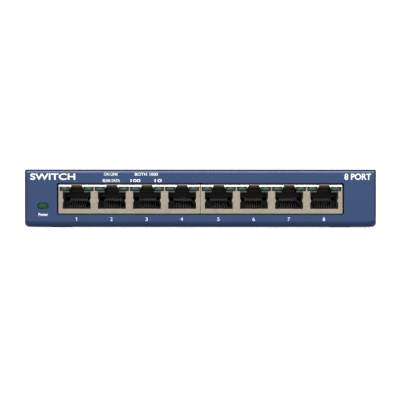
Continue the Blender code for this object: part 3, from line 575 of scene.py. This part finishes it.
def make_contacts():
    """Each port's eight wires rise to the comb from a plastic carrier bar."""
    for number, hinge in HINGES.items():
        node = f"port_contacts_{number}"
        low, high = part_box(node)
        tip_z = high.z - WIRE_HALF[1]
        points = [
            (low.y, hinge.z),
            (hinge.y + ROOT_LENGTH, hinge.z),
            (high.y - TIP_LENGTH, tip_z),
            (high.y, tip_z - TIP_DROP),
        ]
        path = rounded_path(points, WIRE_BEND)
        places = [hinge.x + (n - (WIRES - 1) / 2) * WIRE_PITCH for n in range(WIRES)]
        wires = merged([wire(path, *WIRE_HALF, x) for x in places])
        body = f"contacts_{number}"
        made = add_piece(f"spring_wires_{number}", wires, FINISHES["contact_gold"],
                         body)
        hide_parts(node)
        width = 2 * (high.x - hinge.x + CARRIER_MARGIN)
        bar = box_shape(hinge, (width, *CARRIER_SIZE), CARRIER_CHAMFER)
        add_piece(f"wire_carrier_{number}", bar, FINISHES["jack_plastic"], body)


def make_combs():
    """The moulded comb that each port's wires run into: a rounded nose over a row of teeth, in a pale grey that is
    painted light falling into the port.
    """
    for number, hinge in HINGES.items():
        low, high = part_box(f"port_contacts_{number}")
        wall = high.y - COMB_SETBACK
        base = high.z + COMB_LIFT
        depth, height = COMB_NOSE
        profile = [(wall + depth * (1 - math.cos(angle)), base + height * math.sin(angle))
                   for angle in angles(0, 90)]
        profile.append((wall + depth, base))
        shapes = [extruded(profile, (hinge.x - COMB_HALF, hinge.x + COMB_HALF))]
        tooth_y = wall + TOOTH[1] / 2 - TOOTH_SUNK[0]
        tooth_z = base - TOOTH[2] / 2 + TOOTH_SUNK[1]
        for n in range(WIRES + 1):
            centre = Vector((hinge.x + (n - WIRES / 2) * WIRE_PITCH, tooth_y, tooth_z))
            shapes.append(box_shape(centre, TOOTH, TOOTH_CHAMFER))
        add_piece(f"wire_comb_{number}", merged(shapes), COMB_LIGHT_PLASTIC)


# Port lights

GUIDE_BULGE = 0.4 * MM
GUIDE_CROWN = 0.65 * MM
GUIDE_PROUD = 0.2 * MM
GUIDE_RISE = 0.08 * MM
GUIDE_EDGE = 0.12 * MM

LIP_HEIGHT = 0.42 * MM
LIP_DROP = 0.12 * MM
LIP_FRONT = 0.03 * MM
LIP_BACK = 0.18 * MM
LIP_CHAMFER = 0.06 * MM
LIP_REACH = (3.3 * MM, 6.25 * MM)


def light_guide(low, high):
    """A bar whose front bulges between its top and bottom edges, and falls back to its ends."""
    middle = (high + low) / 2
    half = (high - low) / 2
    rings = []
    for share in (-1, -0.75, -0.5, -0.25, 0, 0.25, 0.5, 0.75, 1):
        x = middle.x + share * half.x
        front = low.y - GUIDE_PROUD + GUIDE_CROWN * share ** 2
        ring = []
        for angle in angles(-90, 90, 16):
            y = front + GUIDE_BULGE * (1 - math.cos(angle))
            ring.append((x, y, middle.z + half.z * math.sin(angle)))
        rings.append(ring + [(x, high.y, high.z), (x, high.y, low.z)])
    return lofted(rings)


def light_lip(low, hinge, hand):
    """The clear strip below a light guide, across the mouth of its channel."""
    top = low.z - LIP_DROP
    bottom = top - LIP_HEIGHT
    profile = [
        (low.y + LIP_BACK, top),
        (low.y + LIP_FRONT, top - LIP_CHAMFER),
        (low.y + LIP_FRONT, bottom + LIP_CHAMFER),
        (low.y + LIP_BACK, bottom),
    ]
    return extruded(profile, sorted(hinge.x + hand * reach for reach in LIP_REACH))


def make_port_lights():
    """Two light guides over each port, each with a clear lip below it."""
    for number, hinge in HINGES.items():
        for hand, name in ((-1, "left"), (1, "right")):
            node = f"port_led_{number}_{name}"
            low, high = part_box(node)
            high.z += GUIDE_RISE
            made = add_piece(f"light_guide_{number}_{name}", light_guide(low, high),
                             FINISHES["port_led_lens"])
            add_bevel(made, GUIDE_EDGE, SMOOTH_ANGLE)
            apply_modifiers(made)
            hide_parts(node)
            add_piece(f"light_guide_lip_{number}_{name}", light_lip(low, hinge, hand), CLEAR_LIP)


# Latch notches, at the top of each port

SHIELD_SHEET = 0.25 * MM
DIMPLE_OFFSET = 1.54 * MM
DIMPLE_RADIUS = 0.5 * MM
DIMPLE_DEPTH = 9.4 * MM

BRIDGE = (4.9 * MM, 0.16 * MM, 0.6 * MM)
BRIDGE_DROP = 0.06 * MM
BRIDGE_PROUD = 0.02 * MM
STOP = (4.5 * MM, 0.16 * MM, 0.85 * MM)
STOP_SETBACK = 0.55 * MM
STOP_OVERLAP = 0.1 * MM
STRAP_CHAMFER = 0.05 * MM

BROW_RADIUS = 1.2 * MM
BROW_SWEEP = 52
BROW_SMOOTH = 30
BROW_DROP = 1.15 * MM
BROW_HEEL = 0.6 * MM
BROW_PROUD = 0.16 * MM
BROW_OVERLAP = 0.05 * MM
BROW_BACK = 0.35 * MM
BROW_END = 7.87 * MM


def make_dimples():
    """Two pips pressed down from the shield's roof over each latch, which hold a plug's latch; their paler tin is
    painted light.
    """
    roof = SHIELD_HIGH.z - SHIELD_SHEET
    for number, hinge in HINGES.items():
        pips = []
        for hand in (-1, 1):
            centre = Vector((hinge.x + hand * DIMPLE_OFFSET, SHIELD_LOW.y + DIMPLE_DEPTH, roof))
            rings = []
            for angle in angles(0, 90, 7)[:-1]:
                radius = DIMPLE_RADIUS * math.cos(angle)
                drop = 2 * DIMPLE_RADIUS * math.sin(angle)
                rings.append([
                    centre + Vector((radius * math.cos(sweep), radius * math.sin(sweep), -drop))
                    for sweep in angles(0, 360, 16)[:-1]
                ])
            pips.append(lofted(rings))
        add_piece(f"latch_dimples_{number}", merged(pips), LIT_PAINTED_TIN)


def make_latch_bridges():
    """The strap across each latch notch, at the shield's front, and the stop behind it, both in darker tin that is
    painted shade.
    """
    top = SHIELD_HIGH.z - BRIDGE_DROP
    bottom = top - BRIDGE[2]
    for number, hinge in HINGES.items():
        centre = Vector((hinge.x, SHIELD_LOW.y - BRIDGE_PROUD, top - BRIDGE[2] / 2))
        strap = box_shape(centre, BRIDGE, STRAP_CHAMFER)
        add_piece(f"latch_bridge_{number}", strap, SHADE_DARKENED_TIN)
        centre = Vector((hinge.x, SHIELD_LOW.y + STOP_SETBACK, bottom - STOP[2] / 2 + STOP_OVERLAP))
        stop = box_shape(centre, STOP, STRAP_CHAMFER)
        add_piece(f"latch_stop_{number}", stop, SHADED_TIN)


def make_shield_brows():
    """The rolled front edge of the shield's roof, either side of each latch notch, in paler tin that is painted
    highlight.
    """
    front = SHIELD_LOW.y - BROW_PROUD
    back = SHIELD_LOW.y + BROW_OVERLAP
    bottom = SHIELD_HIGH.z - BROW_DROP
    profile = []
    for angle in angles(0, BROW_SWEEP):
        y = front + BROW_RADIUS * (1 - math.cos(angle))
        profile.append((y, bottom + BROW_RADIUS * math.sin(angle)))
    roll_y, roll_z = profile[-1]
    profile += [
        (roll_y + BROW_OVERLAP, roll_z),
        (SHIELD_LOW.y + BROW_BACK, bottom + BROW_HEEL),
        (back, bottom),
    ]
    for number, hinge in HINGES.items():
        halves = []
        for hand in (-1, 1):
            ends = sorted((hinge.x + hand * BRIDGE[0] / 2, hinge.x + hand * BROW_END))
            halves.append(extruded(profile, ends))
        add_piece(f"shield_brow_{number}", merged(halves), HIGHLIGHT_TIN,
                  smooth=BROW_SMOOTH)


# Corner webs and gaskets

WEB = (1.5 * MM, 0.3 * MM, 2.6 * MM)
WEB_INSET = 1.55 * MM
WEB_DEPTH = 0.75 * MM
WEB_LIFT = 0.75 * MM
WEB_CHAMFER = 0.1 * MM

GASKET = (0.45 * MM, 0.9 * MM)
GASKET_INSET = 0.6 * MM
GASKET_SETBACK = 0.95 * MM
GASKET_GAP = 0.03 * MM
GASKET_CHAMFER = 0.15 * MM


def make_corner_webs():
    """The painted tab behind the relief slot at each bottom corner of the case; its darker paint is painted shade.
    """
    for end, place in ((-1, "front"), (1, "rear")):
        for side, name in ((-1, "left"), (1, "right")):
            centre = Vector((
                side * (TRAY_HIGH.x - WEB_INSET),
                end * (TRAY_HIGH.y - WEB_DEPTH),
                TRAY_LOW.z + WEB[2] / 2 + WEB_LIFT,
            ))
            web = box_shape(centre, WEB, WEB_CHAMFER)
            add_piece(f"corner_web_{place}_{name}", web, EDGE_SHADE_PAINT)


def make_gaskets():
    """A conductive strip over and under each jack block, behind the window's edges."""
    depth, height = GASKET
    y = FRONT + GASKET_SETBACK + depth / 2
    away = GASKET_GAP + height / 2
    for side in ("left", "right"):
        low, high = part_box(f"jack_shield_{side}")
        size = (high.x - low.x - 2 * GASKET_INSET, depth, height)
        for name, z in (("upper", high.z + away), ("lower", low.z - away)):
            strip = box_shape(Vector(((low.x + high.x) / 2, y, z)), size, GASKET_CHAMFER)
            add_piece(f"gasket_{name}_{side}", strip, GASKET_CLOTH)


# Power light

BRIM_SETBACK = 0.95 * MM
BRIM_THICKNESS = 0.5 * MM
BRIM_WIDTH = 0.6 * MM
DOME_SETBACK = 0.3 * MM
DOME_SPREAD = 0.15 * MM
# How far each of the dome's outlines is drawn in, and how far it is behind the face
DOME = (
    (-DOME_SPREAD, 0.3 * MM),
    (0.0, 0.2 * MM),
    (0.3 * MM, 0.12 * MM),
    (0.6 * MM, 0.06 * MM),
    (0.9 * MM, 0.02 * MM),
    (1.2 * MM, 0.0),
)


def obround(y, inset):
    """The light pipe's round-ended outline at a depth y, drawn in by inset."""
    half_x = LIGHT_WIDTH / 2
    half_z = half_x * LIGHT_ASPECT
    radius = half_z - inset
    ring = []
    for end, start in ((1, -90), (-1, 90)):
        centre_x = LIGHT_MIDDLE.x + end * (half_x - half_z)
        for angle in angles(start, start + 180, 12):
            x = centre_x + radius * math.cos(angle)
            ring.append((x, y, LIGHT_MIDDLE.z + radius * math.sin(angle)))
    return ring


def make_power_light():
    """The round-ended light pipe with a domed face, and a brim behind the panel."""
    brim = FRONT + BRIM_SETBACK
    brim_back = brim + BRIM_THICKNESS
    face = LIGHT_LOW.y + DOME_SETBACK
    rings = [
        obround(LIGHT_HIGH.y, 0.0),
        obround(brim_back, 0.0),
        obround(brim_back, -BRIM_WIDTH),
        obround(brim, -BRIM_WIDTH),
        obround(brim, -DOME_SPREAD),
    ]
    rings += [obround(face + depth, inset) for inset, depth in DOME]
    made = add_piece("power_light_lens", lofted(rings), FINISHES["power_light_lens"])
    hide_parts("power_light_pipe")


# Lettering

INK_PROUD = 0.02 * MM
INK_DEPTH = 0.9 * INK_PROUD
INK_SMOOTH = 20
BOLD = 0.02
SEMIBOLD = 0.01
TITLE_Z = MIDDLE_Z + 9.85 * MM
LEGEND_UPPER = MIDDLE_Z + 10.95 * MM
LEGEND_LOWER = MIDDLE_Z + 8.1 * MM
LEGEND_HEIGHT = 1.35 * MM
DIGIT_Z = SHIELD_LOW.z - 2.55 * MM
DIGIT_SHIFT = 0.15 * MM
DIGIT_SIZE = (1.6 * MM, 1.0 * MM)
POWER_SHIFT = (0.2 * MM, -3.82 * MM)
NUMERAL_ONE = ((0.0, 0.0), (0.14, 0.0), (0.14, 1.0), (0.02, 1.0), (-0.24, 0.82), (-0.18, 0.71),
               (0.0, 0.82))


def numeral_one():
    """The figure 1 with its flag, one unit tall."""
    shape = bmesh.new()
    shape.faces.new([shape.verts.new((x, y, 0)) for x, y in NUMERAL_ONE])
    return shape


def word_outline(text, bold):
    """A word's flat outline, as a bmesh, with its strokes widened by bold."""
    curve = bpy.data.curves.new("word", "FONT")
    curve.body = text
    curve.offset = bold
    curve.resolution_u = 10
    source = place_object("word", curve)
    mesh = mesh_of(source)
    bpy.data.objects.remove(source)
    bpy.data.curves.remove(curve)
    shape = bmesh.new()
    shape.from_mesh(mesh)
    bpy.data.meshes.remove(mesh)
    return shape


def lettering(name, words, bold=0.0):
    """Printed words on the front panel, from (text, centre x, centre z, height, width or None)."""
    shapes = []
    for text, x, z, height, width in words:
        shape = numeral_one() if text == "1" else word_outline(text, bold)
        across = [vert.co.x for vert in shape.verts]
        up = [vert.co.y for vert in shape.verts]
        scale_z = height / (max(up) - min(up))
        scale_x = width / (max(across) - min(across)) if width else scale_z
        middle_x = (max(across) + min(across)) / 2
        middle_z = (max(up) + min(up)) / 2
        for vert in shape.verts:
            vert.co = (
                x + (vert.co.x - middle_x) * scale_x,
                FRONT - INK_PROUD,
                z + (vert.co.y - middle_z) * scale_z,
            )
        shapes.append(shape)
    whole = merged(shapes)
    bmesh.ops.remove_doubles(whole, verts=whole.verts, dist=WELD)
    ink = bmesh.ops.extrude_face_region(whole, geom=whole.faces[:])
    lifted = [part for part in ink["geom"] if isinstance(part, bmesh.types.BMVert)]
    bmesh.ops.translate(whole, vec=(0, INK_DEPTH, 0), verts=lifted)
    bmesh.ops.recalc_face_normals(whole, faces=whole.faces)
    add_piece(name, whole, WHITE_INK, smooth=INK_SMOOTH)


def make_lettering():
    """Generic words and numbers where the panel is printed."""
    lettering("print_title", [("SWITCH", -66.4 * MM, TITLE_Z, 2.9 * MM, 20.2 * MM)], BOLD)
    lettering("print_ports", [("8 PORT", 70.7 * MM, TITLE_Z, 2.8 * MM, 12.0 * MM)], BOLD)
    legend = [
        ("ON LINK", -40.15 * MM, LEGEND_UPPER, LEGEND_HEIGHT, 6.35 * MM),
        ("BOTH 1000", -24.3 * MM, LEGEND_UPPER, LEGEND_HEIGHT, 10.4 * MM),
        ("BLINK DATA", -40.1 * MM, LEGEND_LOWER, LEGEND_HEIGHT, 7.6 * MM),
        ("100", -29.2 * MM, LEGEND_LOWER, LEGEND_HEIGHT, 4.4 * MM),
        ("10", -19.0 * MM, LEGEND_LOWER, LEGEND_HEIGHT, 3.2 * MM),
    ]
    lettering("print_legend", legend, SEMIBOLD)
    height, width = DIGIT_SIZE
    digits = [(str(number), hinge.x - DIGIT_SHIFT, DIGIT_Z, height, width if number > 1 else None)
              for number, hinge in HINGES.items()]
    lettering("print_numbers", digits)
    across, down = POWER_SHIFT
    power = ("Power", LIGHT_MIDDLE.x + across, LIGHT_MIDDLE.z + down, 1.3 * MM, 4.3 * MM)
    lettering("print_power", [power], BOLD)


# Case and moulded parts

# How wide each kind of edge is broken
TRAY_EDGE = 0.12 * MM
LID_EDGE = 0.1 * MM
SHIELD_EDGE = 0.06 * MM
MOULDED_EDGE = 0.08 * MM
SCREW_EDGE = 0.08 * MM


def lid_faces(normal, centre):
    """The lid's cut edges, in a darker paint that is painted shade, are 1."""
    return int(abs(normal.z) < 0.5 and centre.z > cad_high.z - 0.7 * MM)


def tray_faces(normal, centre):
    """The tray's cut edges, in a darker paint that is painted shade, are 1, and the bend along its front's top, in
    a paler, shinier paint that is painted highlight, is 2.
    """
    below_top = cad_high.z - centre.z
    behind_front = centre.y - FRONT
    front_end = normal.y < -0.9 and 0.1 * MM < behind_front < 0.2 * MM
    inside = abs(centre.y) < cad_high.y - 1.5 * MM
    top_end = normal.z > 0.9 and below_top < 0.9 * MM and inside
    if front_end or top_end:
        return 1
    faces_up_front = normal.y < -0.1 and normal.z > 0.1
    return 2 if faces_up_front and below_top < 2.0 * MM and behind_front < 1.1 * MM else 0


def housing_faces(normal, centre):
    """A housing's walls and ceilings inside its ports are 1, and take a paler plastic that is painted light."""
    return int(centre.y > HOUSING_FRONT + 0.05 * MM and normal.z < 0.5)


def make_case():
    """The painted tray and lid."""
    refined("bottom_tray", TRAY_EDGE, (EDGE_SHADE_PAINT, BEND_HIGHLIGHT_PAINT), tray_faces)
    refined("top_cover", LID_EDGE, (LID_EDGE_SHADE_PAINT,), lid_faces)


def make_small_parts():
    """The jack blocks' shields and housings, the power inlet and the lid's screws."""
    for node in ("jack_shield_left", "jack_shield_right"):
        refined(node, SHIELD_EDGE)
    for node in ("jack_housing_left", "jack_housing_right"):
        refined(node, MOULDED_EDGE, (CAVITY_LIGHT_PLASTIC,), housing_faces)
    refined("dc_jack_housing", MOULDED_EDGE)
    for node in ("cover_screw_left", "cover_screw_right"):
        refined(node, SCREW_EDGE)


# Camera

VIEW_DISTANCE = 600 * MM
VIEW_WIDTH = 179.78 * MM
VIEW_SHIFT = (-0.2 * MM, -0.63 * MM)
VIEW_ROLL = math.radians(0.02)
SENSOR = 36.0


def make_camera():
    """Level, square to the front panel, a little under the middle of the case."""
    data = bpy.data.cameras.new("camera")
    data.sensor_width = SENSOR
    data.lens = SENSOR * VIEW_DISTANCE / VIEW_WIDTH
    data.clip_start = 0.01
    data.clip_end = 20.0
    camera = place_object("camera", data)
    across, up = VIEW_SHIFT
    camera.location = (across, FRONT - VIEW_DISTANCE, MIDDLE_Z + up)
    camera.rotation_euler = (math.radians(90), 0, 0)
    camera.rotation_euler.rotate_axis("Z", VIEW_ROLL)
    bpy.context.scene.camera = camera


# Floor and light

CARD_HALF = 3.0
CARD_BACK = 1.2
CARD_BEND = 0.6
CARD_WHITE = (0.93, 0.93, 0.93, 1.0)
CARD_GLOW = 0.35

# The world brightens from one strength to the other between two heights of a unit direction
WORLD_SLOPE = (-0.45, 0.1)
WORLD_BELOW = 0.35
WORLD_ABOVE = 0.95

# Name, place, what it is aimed at, size, all in metres, and power in watts
LAMPS = (
    ("overhead", (0.0, -0.50, 0.84), (0, -0.05, 0.01), (1.4, 0.7), 17.0),
    ("front", (0.0, -1.4, 0.75), (0, 0, 0.02), (1.6, 0.6), 4.0),
    ("rear", (0.2, 1.3, 0.8), (0, 0, 0.02), (1.6, 0.6), 6.0),
)


def make_floor():
    """A pale sheet of card that sweeps up behind the switch."""
    section = [(-CARD_HALF, 0.0)]
    for angle in angles(0, 90, 24):
        rise = CARD_BEND - CARD_BEND * math.cos(angle)
        section.append((CARD_BACK + CARD_BEND * math.sin(angle), rise))
    section.append((CARD_BACK + CARD_BEND, CARD_HALF))
    shape = bmesh.new()
    rows = [[shape.verts.new((side * CARD_HALF, y, z)) for y, z in section] for side in (-1, 1)]
    for n in range(len(section) - 1):
        shape.faces.new((rows[0][n], rows[1][n], rows[1][n + 1], rows[0][n + 1]))
    mesh = bpy.data.meshes.new("floor")
    shape.to_mesh(mesh)
    shape.free()
    mesh.shade_smooth()
    card = Finish("card").set(Base_Color=CARD_WHITE, Roughness=1.0, Specular_IOR_Level=0.0,
                              Emission_Color=(1.0, 1.0, 1.0, 1.0), Emission_Strength=CARD_GLOW)
    mesh.materials.append(card.material)
    floor = place_object("floor", mesh)
    floor.visible_diffuse = False
    floor.visible_glossy = False


def make_world():
    """A white studio, dimmer below the horizon where the floor's card would be."""
    world = bpy.data.worlds.new("studio")
    world.use_nodes = True
    tree = world.node_tree
    sky = tree.nodes["Background"]
    sky.inputs["Color"].default_value = (1.0, 1.0, 1.0, 1.0)
    place = tree.nodes.new("ShaderNodeTexCoord")
    split = tree.nodes.new("ShaderNodeSeparateXYZ")
    slope = tree.nodes.new("ShaderNodeMapRange")
    slope.interpolation_type = "SMOOTHSTEP"
    slope.inputs["From Min"].default_value, slope.inputs["From Max"].default_value = WORLD_SLOPE
    slope.inputs["To Min"].default_value = WORLD_BELOW
    slope.inputs["To Max"].default_value = WORLD_ABOVE
    tree.links.new(place.outputs["Generated"], split.inputs["Vector"])
    tree.links.new(split.outputs["Z"], slope.inputs["Value"])
    tree.links.new(slope.outputs["Result"], sky.inputs["Strength"])
    bpy.context.scene.world = world


def make_light():
    """The world, and a large lamp above, in front and behind."""
    make_world()
    for name, place, target, size, power in LAMPS:
        data = bpy.data.lights.new(name, "AREA")
        data.shape = "RECTANGLE"
        data.size, data.size_y = size
        data.energy = power
        lamp = place_object(name, data)
        lamp.location = place
        aim = Vector(target) - Vector(place)
        lamp.rotation_euler = aim.to_track_quat("-Z", "Y").to_euler()
    bpy.context.scene.view_settings.view_transform = "Standard"


make_camera()
make_floor()
make_light()
paint_cad_nodes()
make_case()
make_small_parts()
make_contacts()
make_combs()
make_port_lights()
make_dimples()
make_latch_bridges()
make_shield_brows()
make_corner_webs()
make_gaskets()
make_power_light()
make_lettering()
